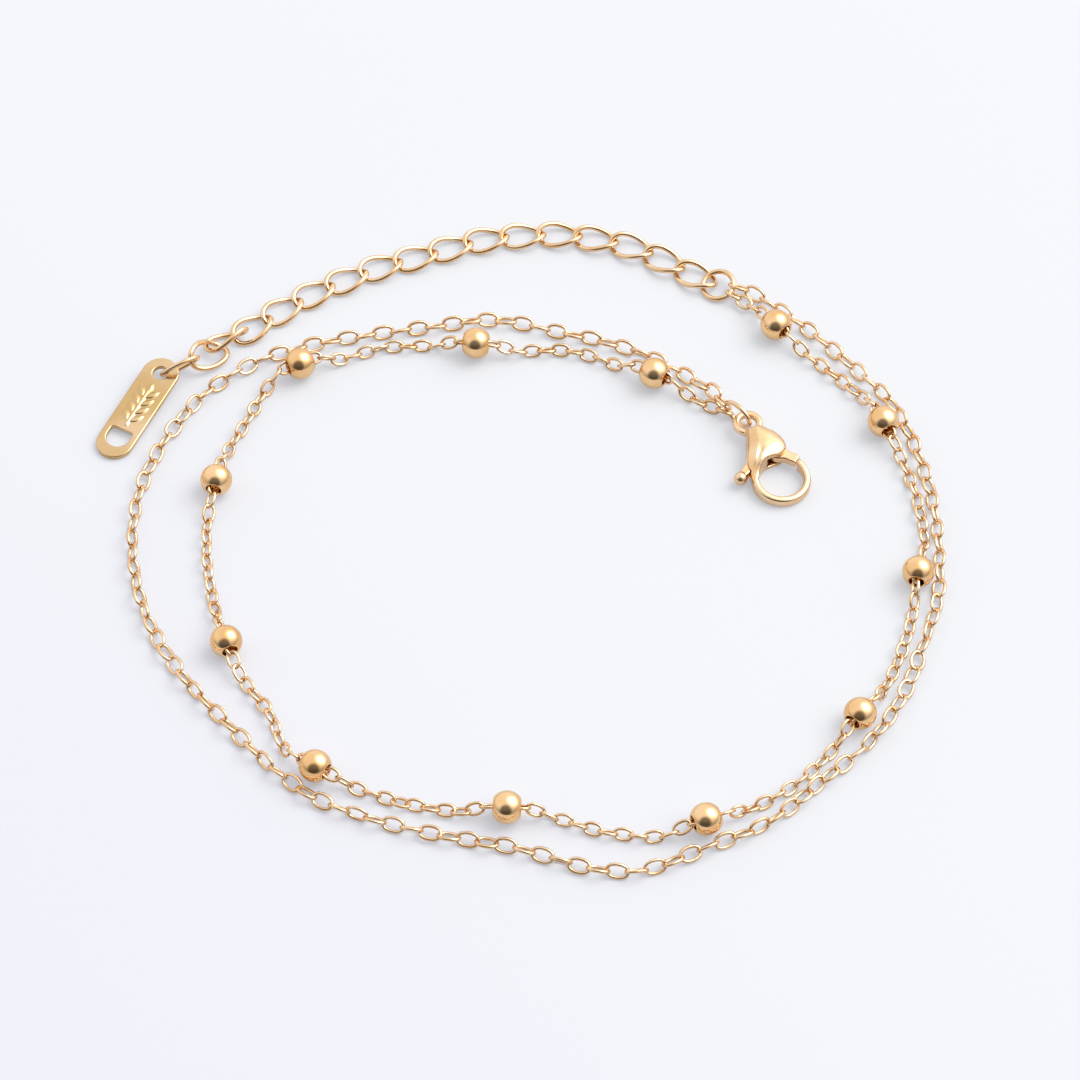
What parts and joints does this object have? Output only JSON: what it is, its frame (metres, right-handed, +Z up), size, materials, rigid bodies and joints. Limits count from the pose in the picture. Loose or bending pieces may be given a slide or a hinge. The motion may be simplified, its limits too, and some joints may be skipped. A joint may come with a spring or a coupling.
{
  "type": "anklet",
  "caption": "Fine double-strand cable chain anklet with ball beads, a curb-link extender, an oblong end tag and a lobster clasp.",
  "frame": {"origin": "centre of the outline, on the surface that the anklet lies on", "axes": "+Z up from the surface, +X to the right and +Y away from the viewer, as the anklet lies in the picture"},
  "size_m": [0.079, 0.0756, 0.003],
  "materials": {
    "chain_gold": "polished gold plating on steel",
    "bead_gold": "polished gold plating on steel",
    "extender_gold": "polished gold plating on steel",
    "ring_gold": "polished gold plating on steel",
    "tag_gold": "satin gold plating on steel",
    "clasp_gold": "polished gold plating on steel"
  },
  "bodies": {
    "anklet": {"bead_01": "bead_gold", "bead_02": "bead_gold", "bead_03": "bead_gold", "bead_04": "bead_gold", "bead_05": "bead_gold", "bead_06": "bead_gold", "bead_07": "bead_gold", "bead_08": "bead_gold", "bead_09": "bead_gold", "bead_10": "bead_gold", "bead_11": "bead_gold", "bead_12": "bead_gold", "extender_link_01": "extender_gold", "extender_link_02": "extender_gold", "extender_link_03": "extender_gold", "extender_link_04": "extender_gold", "extender_link_05": "extender_gold", "extender_link_06": "extender_gold", "extender_link_07": "extender_gold", "extender_link_08": "extender_gold", "extender_link_09": "extender_gold", "extender_link_10": "extender_gold", "extender_link_11": "extender_gold", "extender_link_12": "extender_gold", "extender_link_13": "extender_gold", "extender_link_14": "extender_gold", "extender_link_15": "extender_gold", "extender_link_16": "extender_gold", "outer_strand": "chain_gold", "inner_strand": "chain_gold", "connector_ring": "ring_gold", "tag_ring": "ring_gold", "clasp_ring": "ring_gold", "end_tag": "tag_gold", "clasp_body": "clasp_gold"},
    "lever": {"clasp_lever": "clasp_gold"}
  },
  "joints": [
    {"name": "lever_hinge", "type": "hinge", "parent": "anklet", "child": "lever", "pos_m": [0.02355, 0.00944, 0.0011], "axis": [0, 0, -1], "range_deg": [0, 22], "stiffness_Nm_per_rad": 0.001, "springref_deg": -5.73}
  ]
}
